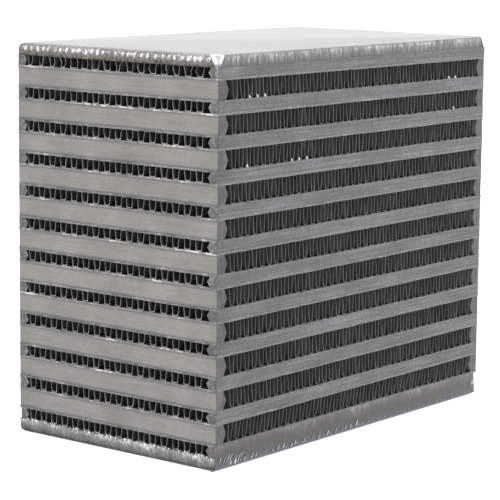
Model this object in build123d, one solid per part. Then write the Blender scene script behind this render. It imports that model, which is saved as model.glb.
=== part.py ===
from build123d import *
import math
import os

# A bar-and-plate intercooler core of the liquid-to-air kind: a brazed block of aluminium.
# Low coolant rows run along X and are open at both X faces.  Taller charge-air rows run
# along Y and are open at both Y faces.  Every row holds one folded fin strip between two
# closing bars, flat parting sheets lie between the rows, and a thick plate closes each end.
# The origin is at the middle of the underside, +Z is up through the stack.  Sizes are in mm.

# The block
core_length = 155.0             # along the coolant rows, X
core_width = 88.4               # along the charge-air rows, Y
charge_rows = 11                # one coolant row more than this
coolant_row_height = 3.6
charge_row_height = 6.35
sheet_thickness = 0.6

# End plates, with the rim of the outer side rounded over
bottom_plate_thickness = 5.0
bottom_plate_rim = 3.0
top_plate_thickness = 4.0
top_plate_rim = 1.6

# Closing bars: a flat-backed body with a pointed nose into the row
coolant_bar_body = 3.4
coolant_bar_nose = 1.4
charge_bar_body = 3.8
charge_bar_nose = 1.4

# Fin strips: metal thickness, and the pitch from one wall to the next
coolant_fin_metal = 0.3
coolant_fin_pitch = 2.585
charge_fin_metal = 0.2
charge_fin_pitch = 1.937
fin_setback = 0.6               # from the open face to the end of the strip
fin_side_clearance = 0.15       # between the outermost wall and its closing bar

row_pitch = coolant_row_height + charge_row_height + 2 * sheet_thickness


def coolant_floor(row):
    """Height of the underside of a coolant row, counted from 1 at the bottom."""
    return bottom_plate_thickness + (row - 1) * row_pitch


def charge_tube_floor(row):
    """Height of the underside of the lower sheet of a charge-air row."""
    return coolant_floor(row) + coolant_row_height


def profile(plane, points, length):
    """A closed outline, drawn on a plane, drawn out to both sides of it."""
    return extrude(plane * Polygon(*points, align=None), amount=length / 2, both=True)


def end_plate(thickness, rim, outer_side):
    """A plate as large as the block, its outer rim rounded over: outer_side is 0 below, -1 above."""
    plate = Box(core_length, core_width, thickness, align=(Align.CENTER, Align.CENTER, Align.MIN))
    rim_edges = plate.faces().sort_by(Axis.Z)[outer_side].edges()
    return fillet(rim_edges, min(rim, 0.9 * thickness))


def coolant_bar(side):
    """A long closing bar, from the side face inwards to its nose: side is -1 front, +1 back."""
    face = side * core_width / 2
    shoulder = side * (core_width / 2 - coolant_bar_body)
    tip = shoulder - side * coolant_bar_nose
    outline = [
        (face, 0),
        (shoulder, 0),
        (tip, coolant_row_height / 2),
        (shoulder, coolant_row_height),
        (face, coolant_row_height),
    ]
    return profile(Plane.YZ, outline, core_length)


def charge_tube():
    """Two parting sheets and the two short closing bars between them, as one brazed tube."""
    height = charge_row_height + 2 * sheet_thickness
    tube = Box(core_length, core_width, height, align=(Align.CENTER, Align.CENTER, Align.MIN))
    shoulder = core_length / 2 - charge_bar_body
    tip = shoulder - charge_bar_nose
    passage_floor = sheet_thickness
    passage_middle = sheet_thickness + charge_row_height / 2
    passage_roof = sheet_thickness + charge_row_height
    passage = [
        (-shoulder, passage_floor),
        (shoulder, passage_floor),
        (tip, passage_middle),
        (shoulder, passage_roof),
        (-shoulder, passage_roof),
        (-tip, passage_middle),
    ]
    return tube - profile(Plane.XZ, passage, 2 * core_width)


def fin_strip(plane, row_width, nose, height, metal, pitch, length):
    """A strip folded to and fro between the floor and the roof of its row.

    row_width is the width between the bodies of the closing bars.  The strip takes as many
    walls as fit beside the noses.  Its folds touch the sheets above and below.
    """
    # Thickness of the leaning wall, measured straight up
    slope = (pitch / metal) ** 2 - 1
    upright_metal = (math.sqrt(height ** 2 + slope * (pitch ** 2 + height ** 2)) - height) / slope
    # Thickness of the leaning wall, measured across the row
    level_metal = upright_metal * pitch / (height - upright_metal)
    side_room = max(nose, pitch / 2) + fin_side_clearance + level_metal / 2
    walls = 1 + math.floor((row_width - 2 * side_room) / pitch)

    underside = []
    upper_side = []
    for fold in range(walls + 1):
        across = (fold - walls / 2) * pitch
        low = 0 if fold % 2 == 0 else height - upright_metal
        underside.append((across, low))
        upper_side.append((across, low + upright_metal))
    return profile(plane, underside + upper_side[::-1], length)


def save(node, solid):
    export_step(solid, "parts/" + node + ".step")


os.makedirs("parts", exist_ok=True)

# The thick end plates
save("bottom_end_plate", end_plate(bottom_plate_thickness, bottom_plate_rim, 0))
top_plate = end_plate(top_plate_thickness, top_plate_rim, -1)
save("top_end_plate", Pos(0, 0, coolant_floor(charge_rows + 1) + coolant_row_height) * top_plate)

# Coolant rows: a fin strip along X between a front and a back bar
coolant_fin = fin_strip(
    Plane.YZ,
    core_width - 2 * coolant_bar_body,
    coolant_bar_nose,
    coolant_row_height,
    coolant_fin_metal,
    coolant_fin_pitch,
    core_length - 2 * fin_setback,
)
for row in range(1, charge_rows + 2):
    place = Pos(0, 0, coolant_floor(row))
    save(f"coolant_fin_{row:02d}", place * coolant_fin)
    save(f"coolant_bar_front_{row:02d}", place * coolant_bar(-1))
    save(f"coolant_bar_back_{row:02d}", place * coolant_bar(1))

# Charge-air rows: a fin strip along Y inside a tube of two sheets and two bars
charge_fin = fin_strip(
    Plane.XZ,
    core_length - 2 * charge_bar_body,
    charge_bar_nose,
    charge_row_height,
    charge_fin_metal,
    charge_fin_pitch,
    core_width - 2 * fin_setback,
)
for row in range(1, charge_rows + 1):
    save(f"charge_tube_{row:02d}", Pos(0, 0, charge_tube_floor(row)) * charge_tube())
    save(f"charge_fin_{row:02d}", Pos(0, 0, charge_tube_floor(row) + sheet_thickness) * charge_fin)
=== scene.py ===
import math
import random
from collections import namedtuple

import bmesh
import bpy
from mathutils import Matrix, Vector


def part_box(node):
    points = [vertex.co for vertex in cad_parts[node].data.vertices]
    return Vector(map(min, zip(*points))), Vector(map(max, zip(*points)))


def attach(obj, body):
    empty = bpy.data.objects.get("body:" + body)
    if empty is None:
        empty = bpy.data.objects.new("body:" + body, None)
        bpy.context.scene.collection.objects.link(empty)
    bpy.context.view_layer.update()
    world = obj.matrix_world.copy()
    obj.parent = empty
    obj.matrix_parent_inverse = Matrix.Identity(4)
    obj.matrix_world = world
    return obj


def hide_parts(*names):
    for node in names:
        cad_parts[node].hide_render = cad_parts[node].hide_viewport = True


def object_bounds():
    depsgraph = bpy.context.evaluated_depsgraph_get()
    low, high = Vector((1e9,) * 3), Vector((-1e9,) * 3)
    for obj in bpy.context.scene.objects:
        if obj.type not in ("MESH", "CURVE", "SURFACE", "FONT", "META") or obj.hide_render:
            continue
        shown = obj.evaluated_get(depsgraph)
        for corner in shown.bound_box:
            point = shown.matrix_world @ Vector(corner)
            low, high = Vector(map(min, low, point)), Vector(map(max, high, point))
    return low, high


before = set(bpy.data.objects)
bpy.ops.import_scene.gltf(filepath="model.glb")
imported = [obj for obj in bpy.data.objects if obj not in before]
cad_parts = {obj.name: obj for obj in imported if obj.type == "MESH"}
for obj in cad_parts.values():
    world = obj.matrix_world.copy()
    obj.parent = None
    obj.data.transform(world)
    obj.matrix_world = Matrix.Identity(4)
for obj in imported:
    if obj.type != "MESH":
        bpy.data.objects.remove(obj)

cad_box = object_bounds()
block_low, block_high = cad_box
bpy.ops.object.select_all(action="DESELECT")

# ---------------------------------------------------------------------------------------
# Camera.  A long lens about three quarters of a metre away, turned to the corner between
# the coolant side (-X) and the charge-air side (-Y), and a little above the block's top.
# ---------------------------------------------------------------------------------------
camera_azimuth = math.radians(-51.477)
camera_elevation = math.radians(8.896)
camera_roll = math.radians(0.595)
camera_place = Vector((-0.60057, -0.47391, 0.17928))
camera_lens = 155.01         # mm
camera_sensor = 36           # mm, across

back = Vector((
    math.sin(camera_azimuth) * math.cos(camera_elevation),
    -math.cos(camera_azimuth) * math.cos(camera_elevation),
    math.sin(camera_elevation),
))
level_right = Vector((math.cos(camera_azimuth), math.sin(camera_azimuth), 0))
level_up = back.cross(level_right)
right = level_right * math.cos(camera_roll) + level_up * math.sin(camera_roll)
up = level_up * math.cos(camera_roll) - level_right * math.sin(camera_roll)

camera = bpy.data.objects.new("camera", bpy.data.cameras.new("camera"))
camera.data.lens = camera_lens
camera.data.sensor_width = camera_sensor
camera.data.clip_start = 0.05
camera.data.clip_end = 50
camera_turn = Matrix((right, up, back)).transposed().to_4x4()
camera.matrix_world = Matrix.Translation(camera_place) @ camera_turn
bpy.context.scene.collection.objects.link(camera)
bpy.context.scene.camera = camera
bpy.context.scene.view_settings.view_transform = "Standard"

# ---------------------------------------------------------------------------------------
# Studio.  A white sweep under and behind the block, a large soft light over it, a broad
# one at its left and a weaker one at its right.
# ---------------------------------------------------------------------------------------
floor_width = 14.0
floor_middle = (2, 2, block_low.z)
floor_white = 0.45
floor_glow = 0.88
sky_strength = 0.55


class Wire:
    """A shader socket.  Sums and products of wires add Math nodes to their material."""

    def __init__(self, tree, socket):
        self.tree = tree
        self.socket = socket

    def node(self, kind, settings=None, sockets=None, output=0):
        """Adds a node: its settings first, then the values or wires of its sockets."""
        made = self.tree.nodes.new(kind)
        for name, value in (settings or {}).items():
            if name == "stops":
                ramp = made.color_ramp
                while len(ramp.elements) < len(value):
                    ramp.elements.new(0.5)
                for element, (position, tone) in zip(ramp.elements, value):
                    element.position = position
                    element.color = (*tone, 1)
            else:
                setattr(made, name, value)
        for name, value in (sockets or {}).items():
            if isinstance(value, Wire):
                self.tree.links.new(value.socket, made.inputs[name])
            else:
                made.inputs[name].default_value = value
        return Wire(self.tree, made.outputs[output])

    def maths(self, operation, *values):
        """A Math node on numbers and wires."""
        return self.node("ShaderNodeMath", {"operation": operation}, dict(enumerate(values)))

    def __add__(self, other):
        return self.maths("ADD", self, other)

    __radd__ = __add__

    def __sub__(self, other):
        return self.maths("SUBTRACT", self, other)

    def __rsub__(self, other):
        return self.maths("SUBTRACT", other, self)

    def __mul__(self, other):
        return self.maths("MULTIPLY", self, other)

    __rmul__ = __mul__

    def __truediv__(self, other):
        return self.maths("DIVIDE", self, other)

    def __abs__(self):
        return self.maths("ABSOLUTE", self)

    def limit(self, low, high):
        """0 below low, 1 above high, and a straight line between them."""
        return self.node("ShaderNodeMapRange", {"clamp": True},
                         {"Value": self, "From Min": low, "From Max": high})

    def stretched(self, scale):
        """These coordinates, each multiplied by its own number."""
        return self.node("ShaderNodeVectorMath", {"operation": "MULTIPLY"}, {0: self, 1: scale})

    def noise(self, scale, detail=2.0, roughness=0.5):
        """Soft noise from about 0.3 to 0.7 at these coordinates."""
        return self.node("ShaderNodeTexNoise", {},
                         {"Vector": self, "Scale": scale, "Detail": detail, "Roughness": roughness})

    def tones(self, *stops):
        """A colour for each value of this wire, by a colour ramp of (place, colour) stops."""
        return self.node("ShaderNodeValToRGB", {"stops": stops}, {"Fac": self})

    def axis(self, name):
        """The X, Y or Z of these coordinates."""
        return self.node("ShaderNodeSeparateXYZ", {}, {"Vector": self}, output=name)


class Finish:
    """A new material: its Principled shader, the place on the object and which way it faces."""

    def __init__(self, name):
        self.material = bpy.data.materials.new(name)
        self.material.use_nodes = True
        tree = self.material.node_tree
        self.shader = tree.nodes["Principled BSDF"]
        coordinates = tree.nodes.new("ShaderNodeTexCoord")
        self.place = Wire(tree, coordinates.outputs["Object"])
        self.facing = Wire(tree, coordinates.outputs["Normal"])

    def set(self, **sockets):
        """Numbers, colours or wires for the shader's sockets, with _ for each space."""
        for name, value in sockets.items():
            socket = self.shader.inputs[name.replace("_", " ")]
            if isinstance(value, Wire):
                self.material.node_tree.links.new(value.socket, socket)
            else:
                socket.default_value = value

    def bump(self, height, distance):
        """Roughens the surface by a height from 0 to 1 over a distance in metres."""
        bumped = self.place.node("ShaderNodeBump", {}, {"Height": height, "Distance": distance})
        self.set(Normal=bumped)


def floor_finish():
    """White card: lit softly from within, so that it stays white to its far end."""
    finish = Finish("white_sweep")
    grain = finish.place.noise(6.0, 3.0)
    finish.set(
        Base_Color=grain.tones((0.3, (floor_white,) * 3), (0.7, (floor_white + 0.02,) * 3)),
        Roughness=0.9,
        Emission_Color=(1, 1, 1, 1),
        Emission_Strength=floor_glow,
    )
    return finish.material


bpy.ops.mesh.primitive_plane_add(size=floor_width, location=floor_middle)
floor = bpy.context.object
floor.name = "floor"
floor.data.materials.append(floor_finish())


def softbox(name, place, aim, width, height, power, tint=(1, 1, 1)):
    """A rectangular area light at a place, turned towards a point."""
    light = bpy.data.lights.new(name, "AREA")
    light.shape = "RECTANGLE"
    light.size = width
    light.size_y = height
    light.energy = power
    light.color = tint
    lamp = bpy.data.objects.new(name, light)
    place = Vector(place)
    turn = (place - Vector(aim)).to_track_quat("Z", "Y")
    lamp.matrix_world = Matrix.Translation(place) @ turn.to_matrix().to_4x4()
    bpy.context.scene.collection.objects.link(lamp)


block_middle = (0, 0, 0.07)
softbox("overhead", (0.1, 0.1, 1.4), block_middle, 0.8, 0.8, 6)
softbox("left", (-1.5, 0.9, 0.55), block_middle, 1.6, 1.2, 8, (1.0, 0.985, 0.95))
softbox("behind", (1.5, 1.3, 0.5), block_middle, 2.2, 1.0, 8)
softbox("right", (1.5, -0.9, 0.4), block_middle, 0.9, 0.9, 3.0, (0.93, 0.95, 1.0))
softbox("glint", (-0.42, -1.17, 1.22), (block_low.x, block_low.y, 0.13), 0.7, 0.7, 3.0)

sky = bpy.data.worlds.new("studio")
sky.use_nodes = True
sky.node_tree.nodes["Background"].inputs["Color"].default_value = (1, 1, 1, 1)
sky.node_tree.nodes["Background"].inputs["Strength"].default_value = sky_strength
bpy.context.scene.world = sky

# ---------------------------------------------------------------------------------------
# End plates.  Two thick flat plates of rolled aluminium close the stack below and above.
# Their outer rims are rounded over where they were welded to the rows and dressed.
# ---------------------------------------------------------------------------------------
plate_inset = 0.0012         # the plate's sides stand inside the weld that covers them
plate_rim = 0.0003           # rounding of its outer rim
plate_corner = 0.0030        # and of its upright corners
plate_ground = 0.0010        # how much deeper than the ground facet the plate is cut away
corner_down = 0.0034         # a corner of the top rim was ground off: how far down,
corner_left = 0.0020         # how far back along the coolant side
corner_right = 0.0017        # and how far along the charge-air side


def select_edges(wanted):
    """In edit mode, selects just the edges for which wanted is true."""
    shape = bmesh.from_edit_mesh(bpy.context.edit_object.data)
    bpy.context.tool_settings.mesh_select_mode = (False, True, False)
    for element in (*shape.verts, *shape.edges, *shape.faces):
        element.select = False
    for edge in shape.edges:
        if wanted(edge):
            edge.select = True
    shape.select_flush_mode()
    bmesh.update_edit_mesh(bpy.context.edit_object.data)


def middle(edge):
    """The middle of an edge."""
    return (edge.verts[0].co + edge.verts[1].co) / 2


def heading(edge):
    """The direction of an edge."""
    return (edge.verts[0].co - edge.verts[1].co).normalized()


def block(name, low, high):
    """A cube added between two corners, its place and size applied, left in edit mode."""
    low, high = Vector(low), Vector(high)
    bpy.ops.object.select_all(action="DESELECT")
    bpy.ops.mesh.primitive_cube_add(size=1, location=(low + high) / 2, scale=high - low)
    bpy.context.object.name = name
    bpy.ops.object.transform_apply(location=True, rotation=True, scale=True)
    bpy.ops.object.mode_set(mode="EDIT")
    return bpy.context.object


def apply(piece, kind, **settings):
    """Adds a modifier with these settings to a piece, and applies it."""
    bpy.context.view_layer.objects.active = piece
    modifier = piece.modifiers.new(kind.lower(), kind)
    for name, value in settings.items():
        setattr(modifier, name, value)
    bpy.ops.object.modifier_apply(modifier=modifier.name)


def seat(piece, material, slot, *nodes):
    """Gives a finished piece its material and its body, and hides the nodes it stands for; slot is
    not used.
    """
    piece.data.materials.clear()
    piece.data.materials.append(material)
    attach(piece, "root")
    if nodes:
        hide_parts(*nodes)
    piece.select_set(False)


def smooth(piece, degrees):
    """Shades a piece smooth across edges that turn by less than this."""
    bpy.context.view_layer.objects.active = piece
    piece.select_set(True)
    bpy.ops.object.shade_smooth_by_angle(angle=math.radians(degrees))


def plate_finish():
    """Rolled plate: pale, with fine scratches both ways and faint cloudy marks."""
    finish = Finish("rolled_plate")
    clouds = finish.place.noise(28.0, 4.0, 0.6)
    scratches = finish.place.stretched((60, 2500, 900)).noise(1.0, 3.0, 0.6)
    cross = finish.place.stretched((1800, 90, 900)).noise(1.0, 2.0)
    wear = clouds * 0.6 + scratches * 0.25 + cross * 0.15
    finish.set(
        Base_Color=wear.tones((0.35, (0.63, 0.63, 0.625)), (0.65, (0.75, 0.75, 0.745))),
        Metallic=0.85,
        Roughness=scratches * 0.25 + clouds * 0.3 + 0.28,
    )
    finish.bump(scratches * 0.6 + cross * 0.4, 0.00003)
    return finish.material


near_corner = Vector((block_low.x, block_low.y, block_high.z))
corner_normal = Vector((-1 / corner_right, -1 / corner_left, 1 / corner_down)).normalized()


def grind_corner(deeper):
    """In edit mode, cuts the ground-off corner from the mesh, this much deeper, and closes it."""
    bpy.ops.mesh.select_all(action="SELECT")
    cut_place = near_corner - Vector((0, 0, corner_down)) - corner_normal * deeper
    bpy.ops.mesh.bisect(plane_co=cut_place, plane_no=corner_normal, use_fill=True, clear_outer=True)


rolled_plate = plate_finish()
for name, node, outer in (("bottom_plate", "bottom_end_plate", -1),
                          ("top_plate", "top_end_plate", 1)):
    low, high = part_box(node)
    inset = Vector((plate_inset, plate_inset, 0))
    plate = block(name, low + inset, high - inset)
    outer_level = high.z if outer > 0 else low.z
    select_edges(lambda e: abs(e.verts[0].co.z - e.verts[1].co.z) > 0.001)
    bpy.ops.mesh.bevel(offset=plate_corner, segments=4, affect="EDGES")
    select_edges(lambda e: abs(middle(e).z - outer_level) < 1e-6)
    bpy.ops.mesh.bevel(offset=plate_rim, segments=2, affect="EDGES")
    grind_corner(plate_ground)
    bpy.ops.object.mode_set(mode="OBJECT")
    smooth(plate, 35)
    seat(plate, rolled_plate, "end_plate", node)

# ---------------------------------------------------------------------------------------
# Short closing bars.  Extruded aluminium, one across each end of every charge-air row,
# with a pointed nose inwards.  Brazed between two sheets, and left matt by the furnace.
# ---------------------------------------------------------------------------------------
charge_rows = sum(1 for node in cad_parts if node.startswith("charge_fin"))
first_charge_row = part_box("charge_fin_01")[0].z
row_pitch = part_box("charge_fin_02")[0].z - first_charge_row
charge_row_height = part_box("charge_fin_01")[1].z - first_charge_row
sheet_thickness = 0.0006
short_bar_body = 0.0038      # its thickness, without the nose
short_bar_nose = 0.0014      # how far the nose stands out from it
short_bar_edge = 0.00085     # rounding of the outer edges
short_bar_cuts = 20          # pieces that its length is divided into, so that it can wave
bar_recess = 0.00015         # outer faces stand inside the sheet edges
bar_upright_edge = 0.0002    # rounding of a bar's upright edges
short_bar_wave = 0.00022     # how far out of true its faces go


def cut(places, normal):
    """In edit mode, cuts the whole mesh by planes with this normal at these places."""
    for place in places:
        bpy.ops.mesh.select_all(action="SELECT")
        bpy.ops.mesh.bisect(plane_co=place, plane_no=normal)


def ripple_texture(name, size, depth=2):
    """A cloud texture for Displace, with lumps of about this size in metres."""
    texture = bpy.data.textures.new(name, "CLOUDS")
    texture.noise_scale = size
    texture.noise_depth = depth
    return texture


bar_waves = ripple_texture("bar_waves", 0.010)


def nosed_bar(name, low, high, inward, nose, edge, cuts):
    """A bar between two corners, its inner face drawn out to a pointed nose.

    inward points from its outer face to its nose, edge is the rounding of the long outer
    edges, and cuts is how many pieces its length is divided into.
    """
    piece = block(name, low, high)
    middle_level = (low[2] + high[2]) / 2
    run = Vector((abs(inward.y), abs(inward.x), 0))
    cut([(0, 0, middle_level)], (0, 0, 1))
    inner_place = max(Vector(low) @ inward, Vector(high) @ inward)
    select_edges(lambda e: abs(middle(e) @ inward - inner_place) < 1e-6
                 and abs(middle(e).z - middle_level) < 1e-6
                 and abs(heading(e) @ run) > 0.9)
    bpy.ops.transform.translate(value=inward * nose)
    outer_place = min(Vector(low) @ inward, Vector(high) @ inward)
    for upright, rounding in ((True, bar_upright_edge), (False, edge)):
        select_edges(lambda e: abs(middle(e) @ inward - outer_place) < 1e-6
                     and abs(middle(e).z - middle_level) > 1e-4
                     and (abs((e.verts[0].co - e.verts[1].co).z) > 1e-4) == upright)
        bpy.ops.mesh.bevel(offset=rounding, segments=3, affect="EDGES")
    start, end = Vector(low) @ run, Vector(high) @ run
    cut([run * (start + (end - start) * step / cuts) for step in range(1, cuts)], run)
    bpy.ops.object.mode_set(mode="OBJECT")
    return piece


def height_in_row(finish, first_row):
    """How far a place is above the foot of its row, where the first row's foot is first_row."""
    height = finish.place.axis("Z") - first_row
    turns = height / row_pitch
    return height - turns.maths("FLOOR", turns) * row_pitch


def bar_finish():
    """Furnace-brazed bar: matt and warm grey, mottled, with painted shade along its rounded long
    edges.
    """
    finish = Finish("brazed_short_bar")
    blotches = finish.place.noise(60.0, 4.0, 0.6)
    specks = finish.place.noise(900.0, 3.0, 0.7)
    drawn = finish.place.stretched((120, 60, 2500)).noise(1.0, 2.0)
    ground = abs(finish.facing.axis("Y")).limit(0.4, 0.8)
    filed = finish.place.stretched((900, 900, 150)).noise(1.0, 3.0, 0.6)
    height = height_in_row(finish, first_charge_row) / charge_row_height
    # painted shade: darker along the bar's rounded upper and lower edges, next to the sheets
    edge_shade_line = abs(height - 0.5 + (blotches - 0.5) * 0.10).limit(0.355, 0.475)
    tone = (blotches * 0.55 + specks * 0.20 + drawn * 0.25 + ground * ((filed - 0.5) * 0.5 - 0.30)
            - edge_shade_line * (1 - ground) * (0.14 + blotches * 0.16))
    finish.set(
        Base_Color=tone.tones((0.08, (0.11, 0.11, 0.112)), (0.20, (0.150, 0.150, 0.152)),
                              (0.38, (0.225, 0.219, 0.205)), (0.50, (0.275, 0.267, 0.252)),
                              (0.62, (0.335, 0.326, 0.310))),
        Metallic=0.55,
        Roughness=0.42 + blotches * 0.3,
    )
    finish.bump(specks * 0.6 + blotches * 0.4, 0.00005)
    return finish.material


brazed_bar = bar_finish()
for row in range(1, charge_rows + 1):
    node = f"charge_tube_{row:02d}"
    low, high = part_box(node)
    for end, inward in (("left", Vector((1, 0, 0))), ("right", Vector((-1, 0, 0)))):
        bar_low = Vector((low.x + bar_recess, low.y + bar_recess, low.z + sheet_thickness))
        bar_high = Vector((low.x + short_bar_body, high.y - bar_recess, high.z - sheet_thickness))
        if end == "right":
            bar_low.x, bar_high.x = high.x - short_bar_body, high.x - bar_recess
        bar = nosed_bar(f"short_bar_{end}_{row:02d}", bar_low, bar_high, inward,
                        short_bar_nose, short_bar_edge, short_bar_cuts)
        apply(bar, "DISPLACE", texture=bar_waves, direction="X",
              strength=short_bar_wave, mid_level=0.5)
        smooth(bar, 40)
        seat(bar, brazed_bar, "charge_tube", node)

# ---------------------------------------------------------------------------------------
# Parting sheets.  Thin clad sheets that divide the rows.  Their cut edges show all round
# as fine bright lines, a little wavy, with braze metal in the corners beside them.
# ---------------------------------------------------------------------------------------
sheet_inset = 0.0001         # cut edges stand inside the block's sides
sheet_cells_x = 44           # the mesh is divided so, to take the waves
sheet_cells_y = 26
sheet_wave = 0.00016         # how far out of true a sheet goes, sideways
sheet_lift = 0.00020         # and up and down
between_sheets = (0.008, 0.010)  # from over a row's upper sheet to under the next row's lower
sheet_waves = ripple_texture("sheet_waves", 0.007)


def sheet_finish():
    """The sheet's cladding: bright where it is cut at the edge, duller over its faces.

    The edges along X were brushed with the long bars, and the sheet under each charge-air
    row is the duller one.
    """
    finish = Finish("clad_sheet")
    specks = finish.place.noise(700.0, 3.0, 0.6)
    lines = finish.place.stretched((90, 90, 2600)).noise(1.0, 3.0, 0.6)
    brushed = abs(finish.place.axis("Y")).limit(block_high.y - 0.0006, block_high.y - 0.0002)
    cut_edge = abs(finish.place.axis("X")).limit(block_high.x - 0.0007, block_high.x - 0.0003)
    dabs = finish.place.noise(420.0, 2.0)
    stretch = finish.place.noise(65.0, 2.0)
    lower_sheet = height_in_row(finish, first_charge_row).limit(*between_sheets)
    tone = (specks * 0.3 + lines * 0.7 + brushed * ((dabs - 0.5) * 0.5 - 0.13 - lower_sheet * 0.10)
            + cut_edge * ((dabs - 0.5) * 0.9 + (stretch - 0.5) * 0.8 - 0.11 - lower_sheet * 0.12))
    finish.set(
        Base_Color=tone.tones((0.12, (0.13, 0.13, 0.134)), (0.30, (0.20, 0.20, 0.20)),
                              (0.48, (0.26, 0.253, 0.241)), (0.56, (0.40, 0.39, 0.372)),
                              (0.64, (0.62, 0.61, 0.59))),
        Metallic=0.8,
        Roughness=0.25 + specks * 0.3,
    )
    finish.bump(specks, 0.00005)
    return finish.material


clad_sheet = sheet_finish()
for row in range(1, charge_rows + 1):
    node = f"charge_tube_{row:02d}"
    low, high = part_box(node)
    for side, level in (("under", low.z), ("over", high.z - sheet_thickness)):
        bpy.ops.object.select_all(action="DESELECT")
        bpy.ops.mesh.primitive_grid_add(
            x_subdivisions=sheet_cells_x, y_subdivisions=sheet_cells_y, size=1,
            location=((low.x + high.x) / 2, (low.y + high.y) / 2, level + sheet_thickness / 2))
        sheet = bpy.context.object
        sheet.scale = (high.x - low.x - 2 * sheet_inset, high.y - low.y - 2 * sheet_inset, 1)
        sheet.name = f"parting_sheet_{side}_{row:02d}"
        bpy.ops.object.transform_apply(location=True, rotation=True, scale=True)
        apply(sheet, "SOLIDIFY", thickness=sheet_thickness, offset=0)
        for direction, strength in (("X", sheet_wave), ("Y", sheet_wave), ("Z", sheet_lift)):
            apply(sheet, "DISPLACE", texture=sheet_waves, direction=direction,
                  strength=strength, mid_level=0.6)
        smooth(sheet, 40)
        seat(sheet, clad_sheet, "charge_tube", node)

# ---------------------------------------------------------------------------------------
# Long closing bars.  Extruded aluminium, one along each side of every coolant row, with a
# pointed nose inwards.  Their outer faces were brushed along their length after brazing.
# ---------------------------------------------------------------------------------------
long_bar_body = 0.0031
long_bar_nose = 0.0012
long_bar_edge = 0.00018
long_bar_cuts = 30
long_bar_wave = 0.00012
welded_over_front = 0.0010   # how far inside the block's sides the lowest bars stand
welded_over_back = 0.0006


def brushed_finish():
    """Brushed bar: darker and cooler, streaked along X, with paler scuffs."""
    finish = Finish("brushed_long_bar")
    streaks = finish.place.stretched((25, 3000, 3000)).noise(1.0, 3.0, 0.6)
    scuffs = finish.place.stretched((1, 2, 2)).noise(45.0, 4.0, 0.6)
    ends = finish.place.noise(700.0, 2.0)
    sawn = abs(finish.facing.axis("X")).limit(0.4, 0.8)
    tone = streaks * 0.45 + scuffs * 0.35 + ends * 0.2 + sawn * ((ends - 0.5) * 0.7 - 0.08)
    finish.set(
        Base_Color=tone.tones((0.22, (0.105, 0.103, 0.098)), (0.38, (0.128, 0.126, 0.122)),
                              (0.50, (0.170, 0.169, 0.171)), (0.62, (0.27, 0.27, 0.281))),
        Metallic=0.75,
        Roughness=0.32 + scuffs * 0.25,
    )
    finish.bump(streaks * 0.7 + ends * 0.3, 0.00004)
    return finish.material


brushed_bar = brushed_finish()
for row in range(1, charge_rows + 2):
    for side, inward in (("front", Vector((0, 1, 0))), ("back", Vector((0, -1, 0)))):
        node = f"coolant_bar_{side}_{row:02d}"
        low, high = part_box(node)
        outer = bar_recess / 2
        if row == 1:
            outer = welded_over_front if side == "front" else welded_over_back
        bar_low = Vector((low.x + bar_recess, low.y + outer, low.z))
        bar_high = Vector((high.x - bar_recess, low.y + long_bar_body, high.z))
        if side == "back":
            bar_low.y, bar_high.y = high.y - long_bar_body, high.y - outer
        bar = nosed_bar(f"long_bar_{side}_{row:02d}", bar_low, bar_high, inward,
                        long_bar_nose, long_bar_edge, long_bar_cuts)
        apply(bar, "DISPLACE", texture=bar_waves, direction="Y",
              strength=long_bar_wave, mid_level=0.6)
        smooth(bar, 40)
        seat(bar, brushed_bar, "closing_bar", node)

# ---------------------------------------------------------------------------------------
# Fin strips.  Thin aluminium strip folded to and fro, one in each row, brazed to the sheet
# at every fold.  The cut ends show at the open faces, a little bent by handling.
# ---------------------------------------------------------------------------------------
fin_end_cuts = (0.0006, 0.0016, 0.0032, 0.0064)  # from each end, so that only it is bent
fold_rounding = 0.00032
floor_light_depths = (0.0010, 0.0045)  # depths between which the painted light on the floors of the folds fades out
coolant_strip_metal = 0.00020
coolant_strip_crest = 0.00215
charge_strip_metal = 0.00014
charge_strip_crest = 0.00165
fin_wobble = ripple_texture("fin_wobble", 0.0022, 1)


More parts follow.
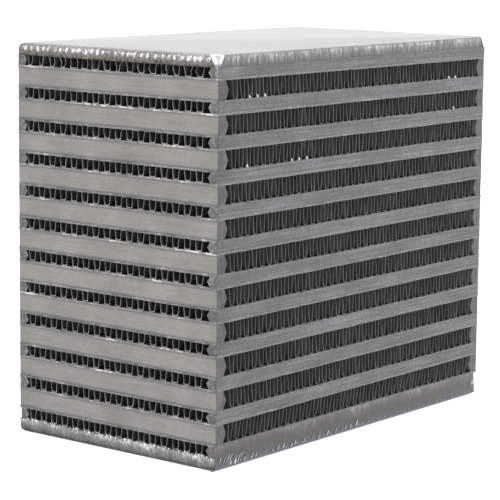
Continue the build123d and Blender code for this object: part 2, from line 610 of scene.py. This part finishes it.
def folded_strip(name, low, high, across, pitch, crest, metal, shift, lean):
    """A strip folded across a row: one wave of it extruded, repeated and given its metal.

    across is the direction in which the folds follow each other, pitch the way from one
    wall to the next, crest the flat on each fold, shift how far the strip sits to one side
    of its row, and lean how far the tops of all its walls stand past their feet.
    """
    run = Vector((across.y, across.x, 0))
    width = (high - low) @ across
    waves = math.floor(width / (2 * pitch))
    first = (low + high) @ across / 2 - waves * pitch + shift
    run_middle = (low + high) @ run / 2
    length = (high - low) @ run
    top, bottom = high.z - metal / 2, low.z + metal / 2
    corner = across * first + run * run_middle + Vector((0, 0, top))

    # the flat on top of the first fold, then down, along the floor and up again
    bpy.ops.object.select_all(action="DESELECT")
    bpy.ops.mesh.primitive_plane_add(size=1, location=corner + across * crest / 2)
    piece = bpy.context.object
    piece.name = name
    piece.scale = across * crest + run * length + Vector((0, 0, 1))
    bpy.ops.object.transform_apply(location=True, rotation=True, scale=True)
    bpy.ops.object.mode_set(mode="EDIT")
    down = across * (pitch - crest - lean) + Vector((0, 0, bottom - top))
    rise = across * (pitch - crest + lean) + Vector((0, 0, top - bottom))
    steps = (down / 2, down / 2, across * crest, rise / 2, rise / 2)
    edge_place = first + crest
    level = top
    for step in steps:
        select_edges(lambda e: abs(middle(e) @ across - edge_place) < 1e-7
                     and abs(middle(e).z - level) < 1e-7)
        bpy.ops.mesh.extrude_region_move(TRANSFORM_OT_translate={"value": step})
        edge_place += step @ across
        level += step.z
    fold_levels = (top, bottom)
    select_edges(lambda e: min(abs(middle(e).z - f) for f in fold_levels) < 1e-7
                 and abs(heading(e) @ run) > 0.9
                 and first + 1e-6 < middle(e) @ across < first + 2 * pitch - 1e-6)
    bpy.ops.mesh.bevel(offset=fold_rounding, segments=2, affect="EDGES")
    start, end = low @ run, high @ run
    places = [start + d for d in fin_end_cuts] + [run_middle] + [end - d for d in fin_end_cuts]
    cut([run * place for place in places], run)
    bpy.ops.object.mode_set(mode="OBJECT")
    apply(piece, "ARRAY", count=waves, use_relative_offset=False, use_constant_offset=True,
          constant_offset_displace=across * (2 * pitch), use_merge_vertices=True,
          merge_threshold=1e-6)
    apply(piece, "SOLIDIFY", thickness=metal, offset=0)
    return piece


def fin_finish(name, tones, depth_axis, open_low, open_high, upturned, pale, wall, end, foot,
               folds, first_row, row_height, foot_painted_light):
    """As-brazed strip: painted light at its cut ends, upper sides and fold floors, painted shade
    deeper in.

    Its row is open at open_low and open_high along depth_axis, and painted shade sets in
    between the two depths of pale.  wall is the painted light that a wall's upper side adds to
    the tone, once it faces up by upturned, end what a cut end adds, its own paler metal with a
    painted highlight, foot what a cut end adds at the foot of the row, and foot_painted_light how
    much paler the foot is than the top, by painted light.  folds stretches the noise that tells one
    fold from the next.
    """
    finish = Finish(name)
    specks = finish.place.noise(1200.0, 2.0)
    fold = finish.place.stretched(folds).noise(1.0, 0.0)
    along = finish.place.axis(depth_axis)
    # inside rises from 0 at the open faces to 1 further in: painted shade in the passages
    inside = (along - open_low).limit(*pale) * (open_high - along).limit(*pale)
    # painted light on the floors of the folds, fading out with depth
    deeper = (along - open_low).limit(*floor_light_depths) * (open_high - along).limit(*floor_light_depths)
    # painted light on walls that face up
    painted_top_light = finish.facing.axis("Z").limit(0, upturned)
    floor = finish.facing.axis("Z").limit(0.4, 0.8)
    # cut ends: their own paler bare metal, with a painted highlight on them
    cut_end = abs(finish.facing.axis(depth_axis)).limit(0.5, 0.8)
    height = height_in_row(finish, first_row) / row_height
    # shade sums the painted light and shade: lighter near the mouths, on upper sides and fold
    # floors, and towards the foot of the row
    shade = ((1 - inside) * (0.12 + painted_top_light * wall + (fold - 0.5) * 0.5)
             + cut_end * (end + foot * (1 - height.limit(0.08, 0.2)))
             + (1 - deeper) * floor * 0.55 + (0.5 - height) * foot_painted_light + (specks - 0.5) * 0.2)
    finish.set(
        Base_Color=shade.tones(*tones),
        Metallic=0.6,
        Roughness=0.4 + inside * 0.2,
    )
    finish.bump(specks, 0.00003)
    return finish.material


coolant_low, coolant_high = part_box("coolant_fin_01")
coolant_strip = fin_finish(
    "coolant_strip",
    tones=((0.05, (0.10, 0.10, 0.092)), (0.15, (0.12, 0.12, 0.112)),
           (0.45, (0.22, 0.215, 0.205)), (0.70, (0.50, 0.49, 0.47))),
    depth_axis="X", open_low=block_low.x, open_high=block_high.x,
    upturned=0.15, pale=(0.0007, 0.0015), wall=0.60, end=0.24, foot=0.5, folds=(40, 700, 150),
    first_row=coolant_low.z, row_height=coolant_high.z - coolant_low.z, foot_painted_light=0.03)
coolant_slack = 0.0002       # how far a strip can sit to one side of its row
coolant_waves = 16
coolant_bend = 0.0006
top_row_bend = 0.0022        # the uppermost strip is bent the most
pushed_back = (3, 5, 7, 8, 9, 10, 11, 12)  # rows whose strip sits towards the back
for row in range(1, charge_rows + 2):
    node = f"coolant_fin_{row:02d}"
    low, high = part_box(node)
    shift = coolant_slack if row in pushed_back else -coolant_slack
    pitch = (high.y - low.y - 2 * coolant_slack) / (2 * coolant_waves)
    strip = folded_strip(f"coolant_strip_{row:02d}", low, high, Vector((0, 1, 0)), pitch,
                         coolant_strip_crest, coolant_strip_metal, shift, 0)
    bend = top_row_bend if row == charge_rows + 1 else coolant_bend
    apply(strip, "DISPLACE", texture=fin_wobble, direction="Y", strength=bend, mid_level=0.5)
    smooth(strip, 50)
    seat(strip, coolant_strip, "coolant_fin", node)

charge_pitch = 0.001937
charge_bend = 0.0009
first_row_lean = 0.0012      # the lowest strip went in askew
row_luck = random.Random(7)
charge_strip = fin_finish(
    "charge_strip",
    tones=((0.05, (0.150, 0.150, 0.147)), (0.15, (0.180, 0.180, 0.177)),
           (0.45, (0.240, 0.240, 0.237)), (0.70, (0.37, 0.37, 0.366))),
    depth_axis="Y", open_low=block_low.y, open_high=block_high.y,
    upturned=0.05, pale=(0.0002, 0.0011), wall=0.42, end=0.30, foot=0.0, folds=(900, 40, 60),
    first_row=first_charge_row, row_height=charge_row_height, foot_painted_light=0.34)
for row in range(1, charge_rows + 1):
    node = f"charge_fin_{row:02d}"
    low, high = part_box(node)
    shift = row_luck.uniform(-0.0004, 0.0004)
    lean = row_luck.uniform(-0.0003, 0.0001) + (first_row_lean if row == 1 else 0)
    strip = folded_strip(f"charge_strip_{row:02d}", low, high, Vector((1, 0, 0)), charge_pitch,
                         charge_strip_crest, charge_strip_metal, shift, lean)
    apply(strip, "DISPLACE", texture=fin_wobble, direction="X", strength=charge_bend,
          mid_level=0.5)
    smooth(strip, 50)
    seat(strip, charge_strip, "charge_fin", node)

# ---------------------------------------------------------------------------------------
# Welds.  Aluminium laid by hand round the rim of each end plate, puddle by puddle, and then
# dressed with a grinder.  Ripples are left along the top of the coolant side, and short
# slanted claws along the foot of the charge-air side.
# ---------------------------------------------------------------------------------------
weld_back = 0.0026           # how deep a strip of weld goes into the block
weld_grain = 0.00021         # the finest detail of its surface
weld_faces_kept = 0.6        # the share of them left after thinning
weld_end_clear = 0.0034      # no puddle lies nearer than this to the far corner
far_corner_round = 0.0030    # rounding of the coolant side's three other corners
weld_ground = 0.0008         # how much deeper than the ground facet it is cut away
weld_luck = random.Random(11)


def weld_finish(name, low, high, tones, grain, dull, shiny, side, crest_from, crest_to, crest_highlight,
                shoulder_highlight, mottle=0.8, calm=0.0):
    """Weld metal: darker at the foot and lighter with height, with painted highlights on its
    crests.

    The rise in tone from low to high is partly the weld's own dark oxide at the foot, partly
    painted shade there and a painted highlight towards the top.  grain stretches the fine
    noise, and mottle is how much that noise changes the tone at the foot, and calm how much
    less at the top.  dull and shiny are the roughness of dark and of bright metal.  The crests
    stand out between two distances from the middle of the block, along the axis side, and add
    lift, a painted highlight.  The upper edge adds shoulder, a painted highlight on its rounding.
    """
    finish = Finish(name)
    specks = finish.place.stretched(grain).noise(1.0, 3.0, 0.65)
    bloom = finish.place.noise(260.0, 3.0, 0.6)
    stretch = finish.place.noise(75.0, 2.0)
    # the tone rises with height: partly the weld's own dark oxide at the foot, partly painted shade
    # low down and a painted highlight high up
    rise = (finish.place.axis("Z") - low) / (high - low)
    # painted highlights: on the ripples' outermost crests, and along the rounded upper edge
    crest = abs(finish.place.axis(side)).limit(crest_from, crest_to)
    edge = rise.limit(1 - 0.0009 / (high - low), 1 - 0.0002 / (high - low))
    tone = (rise * 0.6 + crest * crest_highlight + edge * shoulder_highlight + (specks - 0.5) * (mottle - rise * calm)
            + (bloom - 0.5) * (0.4 - rise * calm * 0.4) + (stretch - 0.5) * 0.35)
    finish.set(
        Base_Color=tone.tones(*tones),
        Metallic=0.9,
        Roughness=dull + tone.limit(0.45, 0.7) * (shiny - dull),
    )
    finish.bump(specks * 0.5 + bloom * 0.5, 0.00015)
    return finish.material


bpy.ops.object.select_all(action="DESELECT")
bpy.ops.mesh.primitive_uv_sphere_add(segments=14, ring_count=8, radius=1)
puddle_shape = bpy.context.object


def round_corners():
    """In edit mode, rounds a coolant side's corners, all but the ground one, seen facing it."""
    for far, up in ((1, 1), (1, -1), (-1, -1)):
        centre = Vector((0, far * (block_high.y - far_corner_round), 0))
        centre.z = block_high.z - far_corner_round if up > 0 else far_corner_round
        for degrees in (15, 33, 51, 70):
            angle = math.radians(degrees)
            normal = Vector((0, far * math.cos(angle), up * math.sin(angle)))
            bpy.ops.mesh.select_all(action="SELECT")
            bpy.ops.mesh.bisect(plane_co=centre + normal * far_corner_round, plane_no=normal,
                                use_fill=True, clear_outer=True)


Puddles = namedtuple("Puddles", "level along deep up inset lean spacing vary first last")


def weld(name, start, end, low, high, skin, gaps, round_top, round_low, puddle_rows):
    """A strip of weld along one side of the block, from one corner to the next.

    skin is how far its face stands inside the block's side, gaps how far it stops short of
    each corner.  Each row of puddles has its level, their half sizes along the side, deep
    into it and up, how far they stand inside the block's side, their lean in radians, their
    spacing, by what share this varies, and where along the strip the row starts and ends.
    """
    start, end = Vector(start), Vector(end)
    along = (end - start).normalized()
    inwards = Vector((-along.y, along.x, 0))
    quarter = math.atan2(along.y, along.x)
    length = (end - start).length
    near = start + inwards * skin + along * gaps[0]
    far = end + inwards * weld_back - along * gaps[1]
    corners = [Vector((pick(near.x, far.x), pick(near.y, far.y), level))
               for pick, level in ((min, low), (max, high))]
    piece = block(name, *corners)
    outside = (start + inwards * skin) @ inwards
    for level, radius in ((high, round_top), (low, round_low)):
        if radius:
            select_edges(lambda e: abs(middle(e) @ inwards - outside) < 1e-6
                         and abs(middle(e).z - level) < 1e-6)
            bpy.ops.mesh.bevel(offset=radius, segments=5, affect="EDGES")
    bpy.ops.object.mode_set(mode="OBJECT")
    joined = [piece]
    for row in puddle_rows:
        reach = row.first
        while reach < min(row.last, length - weld_end_clear):
            growth = weld_luck.uniform(1 - row.vary, 1 + row.vary / 2)
            size = Vector((row.along, row.deep, row.up)) * growth
            place = start + along * reach + inwards * (row.inset + size.y)
            place.z = row.level + weld_luck.uniform(-1, 1) * row.vary * row.up * 0.5
            puddle = puddle_shape.copy()
            puddle.data = puddle_shape.data.copy()
            bpy.context.scene.collection.objects.link(puddle)
            tilt = Matrix.Rotation(row.lean + weld_luck.uniform(-0.1, 0.1), 4, "Y")
            turn = Matrix.Rotation(quarter, 4, "Z") @ tilt
            puddle.matrix_world = Matrix.Translation(place) @ turn @ Matrix.Diagonal((*size, 1))
            joined.append(puddle)
            reach += row.spacing * weld_luck.uniform(1 - row.vary, 1 + row.vary)
    bpy.ops.object.select_all(action="DESELECT")
    for part in joined:
        part.select_set(True)
    bpy.context.view_layer.objects.active = piece
    bpy.ops.object.join()
    apply(piece, "REMESH", mode="VOXEL", voxel_size=weld_grain)
    apply(piece, "SMOOTH", factor=0.5, iterations=2)
    bpy.ops.object.mode_set(mode="EDIT")
    if along.y:
        round_corners()
    if high > block_high.z - 0.001:
        grind_corner(weld_ground)
    bpy.ops.object.mode_set(mode="OBJECT")
    apply(piece, "DECIMATE", ratio=weld_faces_kept)
    smooth(piece, 60)
    return piece


def mirrored_copy(piece, name, axis):
    """The same strip on the opposite side of the block, mirrored along an axis."""
    other = piece.copy()
    other.data = piece.data.copy()
    other.name = name
    bpy.context.scene.collection.objects.link(other)
    other.scale["XY".index(axis)] = -1
    bpy.ops.object.select_all(action="DESELECT")
    other.select_set(True)
    bpy.context.view_layer.objects.active = other
    bpy.ops.object.transform_apply(location=True, rotation=True, scale=True)
    bpy.ops.object.mode_set(mode="EDIT")
    bpy.ops.mesh.select_all(action="SELECT")
    bpy.ops.mesh.normals_make_consistent(inside=False)
    bpy.ops.object.mode_set(mode="OBJECT")
    return other


def shorten(piece, reach):
    """Cuts a strip off square at this distance from the middle of the block, at both ends."""
    bpy.context.view_layer.objects.active = piece
    bpy.ops.object.mode_set(mode="EDIT")
    for turn in (1, -1):
        bpy.ops.mesh.select_all(action="SELECT")
        bpy.ops.mesh.bisect(plane_co=(turn * reach, 0, 0), plane_no=(turn, 0, 0),
                            use_fill=True, clear_outer=True)
    bpy.ops.object.mode_set(mode="OBJECT")


far_left = (block_low.x, block_high.y, 0)
near_left = (block_low.x, block_low.y, 0)
near_right = (block_high.x, block_low.y, 0)
weld_foot = 0.00005
weld_top = block_high.z - 0.00005
rows_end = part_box("top_end_plate")[0].z
rows_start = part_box("bottom_end_plate")[1].z
first_bar_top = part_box("coolant_bar_front_01")[1].z
back_end = 0.0751            # the back's strips stop this far from the middle

rippled = weld_finish(
    "rippled_weld", low=rows_end - 0.0004, high=weld_top,
    tones=((0.00, (0.075, 0.066, 0.058)), (0.12, (0.14, 0.129, 0.118)),
           (0.32, (0.22, 0.207, 0.195)), (0.52, (0.33, 0.32, 0.31)),
           (0.70, (0.84, 0.835, 0.83))),
    grain=(1300, 1300, 1300), dull=0.60, shiny=0.22,
    side="X", crest_from=0.07706, crest_to=0.07721, crest_highlight=0.28,
    shoulder_highlight=0.13, mottle=1.5, calm=0.9)
ripples = Puddles(level=weld_top - 0.0017, along=0.00092, deep=0.0010, up=0.0014, inset=0.00005,
                  lean=0.42, spacing=0.0029, vary=0.22, first=0.0034, last=1)
strip = weld("top_weld_left", far_left, near_left, low=rows_end - 0.0004, high=weld_top,
             skin=0.0004, gaps=(0.0001, 0.0004), round_top=0.0012, round_low=0.0004,
             puddle_rows=[ripples])
seat(strip, rippled, "end_plate")
seat(mirrored_copy(strip, "top_weld_right", "X"), rippled, "end_plate")

dressed = weld_finish(
    "dressed_weld", low=rows_end - 0.0006, high=weld_top,
    tones=((0.00, (0.138, 0.133, 0.130)), (0.15, (0.155, 0.151, 0.149)),
           (0.45, (0.25, 0.248, 0.248)), (0.80, (0.68, 0.68, 0.68))),
    grain=(1300, 1300, 160), dull=0.45, shiny=0.30,
    side="Y", crest_from=0.04400, crest_to=0.04412, crest_highlight=0.15, shoulder_highlight=0.25)
flats = Puddles(level=weld_top - 0.0028, along=0.00110, deep=0.0006, up=0.0024, inset=0.00002,
                lean=0.10, spacing=0.0031, vary=0.25, first=0.0034, last=1)
strip = weld("top_weld_front", near_left, near_right, low=rows_end - 0.0006, high=weld_top,
             skin=0.00015, gaps=(0.0003, 0.0024), round_top=0.0011, round_low=0.0003,
             puddle_rows=[flats])
seat(strip, dressed, "end_plate")
strip = mirrored_copy(strip, "top_weld_back", "Y")
shorten(strip, back_end)
seat(strip, dressed, "end_plate")

rounded = weld_finish(
    "rounded_weld", low=0.0, high=rows_start,
    tones=((0.05, (0.06, 0.06, 0.059)), (0.22, (0.12, 0.12, 0.118)),
           (0.38, (0.185, 0.185, 0.182)), (0.54, (0.27, 0.27, 0.265)),
           (0.80, (0.94, 0.94, 0.935))),
    grain=(1300, 1300, 900), dull=0.45, shiny=0.25,
    side="X", crest_from=0.07733, crest_to=0.07744, crest_highlight=0.55, shoulder_highlight=0.0, mottle=0.7)
beads = Puddles(level=rows_start - 0.0001, along=0.0005, deep=0.0007, up=0.00045, inset=0.0,
                lean=0.0, spacing=0.0016, vary=0.65, first=0.0034, last=1)
strip = weld("bottom_weld_left", far_left, near_left, low=weld_foot, high=rows_start,
             skin=0.00015, gaps=(0.0001, 0.0006), round_top=0.0008, round_low=0.0014,
             puddle_rows=[beads])
seat(strip, rounded, "end_plate")
seat(mirrored_copy(strip, "bottom_weld_right", "X"), rounded, "end_plate")

# bluish at the foot and bluish-white on the crests: painted reflection
slanted = weld_finish(
    "slanted_weld", low=0.0, high=first_bar_top,
    tones=((0.00, (0.165, 0.165, 0.200)), (0.08, (0.155, 0.155, 0.180)),
           (0.18, (0.150, 0.148, 0.152)), (0.34, (0.134, 0.131, 0.126)),
           (0.54, (0.176, 0.171, 0.160)), (0.70, (0.28, 0.28, 0.295)),
           (0.92, (0.74, 0.74, 0.85))),
    grain=(900, 900, 220), dull=0.42, shiny=0.22,
    side="Y", crest_from=0.04378, crest_to=0.04396, crest_highlight=0.70,
    shoulder_highlight=0.0, mottle=0.9, calm=0.5)
claws = Puddles(level=0.0022, along=0.00038, deep=0.0007, up=0.0015, inset=0.00004,
                lean=0.45, spacing=0.0036, vary=0.45, first=0.0080, last=0.080)
long_claws = Puddles(level=0.0034, along=0.00028, deep=0.0006, up=0.0030, inset=0.00012,
                     lean=0.50, spacing=0.0019, vary=0.35, first=0.0027, last=0.014)
bumps = Puddles(level=0.0018, along=0.00070, deep=0.0006, up=0.0007, inset=0.00022,
                lean=0.45, spacing=0.0031, vary=0.50, first=0.0040, last=0.150)
strip = weld("bottom_weld_front", near_left, near_right, low=weld_foot, high=first_bar_top,
             skin=0.0005, gaps=(0.0003, 0.0024), round_top=0.0, round_low=0.0016,
             puddle_rows=[claws, long_claws, bumps])
seat(strip, slanted, "end_plate", "coolant_bar_front_01")
strip = mirrored_copy(strip, "bottom_weld_back", "Y")
shorten(strip, back_end)
seat(strip, slanted, "end_plate", "coolant_bar_back_01")
bpy.data.objects.remove(puddle_shape)

# ---------------------------------------------------------------------------------------
# Ground corner.  The near corner of the top rim was built up with weld and ground off to a
# small three-sided facet with soft edges.  It is bare and bright, with a painted highlight
# that goes dull towards its tip.
# ---------------------------------------------------------------------------------------
facet_depth = 0.00005        # how much deeper than planned the facet lies
slab_back = 0.0012           # thickness of the metal under the facet
slab_size = 0.0075
slab_inset = 0.0001
slab_grain = 0.00012
tip_dull = 0.0036            # below the top of the block: the painted highlight is dull from here down
tip_bright = 0.0024          # and full from here up
slab = block("corner_weld", near_corner + Vector((slab_inset, slab_inset, -slab_size)),
             near_corner + Vector((slab_size, slab_size, -slab_inset)))
grind_corner(facet_depth)
bpy.ops.mesh.select_all(action="SELECT")
slab_bottom = near_corner - Vector((0, 0, corner_down)) - corner_normal * slab_back
bpy.ops.mesh.bisect(plane_co=slab_bottom, plane_no=corner_normal, use_fill=True, clear_inner=True)
bpy.ops.object.mode_set(mode="OBJECT")
apply(slab, "REMESH", mode="VOXEL", voxel_size=slab_grain)
apply(slab, "SMOOTH", factor=0.5, iterations=25)
smooth(slab, 60)
bright = Finish("ground_corner")
ground_marks = bright.place.noise(900.0, 2.0)
# painted highlight: full at the top of the facet, going dull towards its tip
highlight_fade = 1 - bright.place.axis("Z").limit(near_corner.z - tip_dull, near_corner.z - tip_bright)
bright.set(
    Base_Color=(ground_marks * 0.4 + highlight_fade).tones(
        (0.20, (0.95, 0.95, 0.95)), (0.50, (0.80, 0.80, 0.80)), (1.00, (0.26, 0.26, 0.265))),
    Metallic=0.9,
    Roughness=0.24 + ground_marks * 0.15,
)
bright.bump(ground_marks, 0.00003)
seat(slab, bright.material, "end_plate")

# ---------------------------------------------------------------------------------------
# Braze drops.  Where too much filler melted, a bright drop froze at the foot of a fold, at
# the mouth of a charge-air row.  Only the ones that stand out are modelled.
# ---------------------------------------------------------------------------------------
drop_width = 0.00042         # half sizes
drop_depth = 0.0006
drop_height = 0.00085
drop_seat = 0.0002           # how far a drop stands inside its row's mouth and above its foot
drop_wave = 0.0003           # how far out of round it is
# the charge-air rows that have them, and where along X
drop_places = ((11, (-0.0612, -0.0571, -0.0532, 0.0545, 0.0587)), (10, (0.0581,)),
               (9, (-0.0620, -0.0384, -0.0345, -0.0301)))

filler = Finish("braze_filler")
filler_grain = filler.place.noise(1500.0, 2.0)
filler.set(
    Base_Color=filler_grain.tones((0.35, (0.85, 0.85, 0.85)), (0.65, (0.95, 0.95, 0.95))),
    Metallic=0.8,
    Roughness=0.15 + filler_grain * 0.2,
)
filler.bump(filler_grain, 0.00004)
for row, places in drop_places:
    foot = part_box(f"charge_fin_{row:02d}")[0].z
    for number, place in enumerate(places):
        bpy.ops.object.select_all(action="DESELECT")
        bpy.ops.mesh.primitive_uv_sphere_add(
            segments=16, ring_count=10, radius=1,
            location=(place, block_low.y + drop_depth + drop_seat, foot + drop_seat))
        blob = bpy.context.object
        blob.name = f"braze_drop_{row:02d}_{number}"
        blob.scale = (drop_width, drop_depth, drop_height)
        bpy.ops.object.transform_apply(location=True, rotation=True, scale=True)
        apply(blob, "DISPLACE", texture=fin_wobble, strength=drop_wave, mid_level=0.5)
        smooth(blob, 80)
        seat(blob, filler.material, "charge_fin")
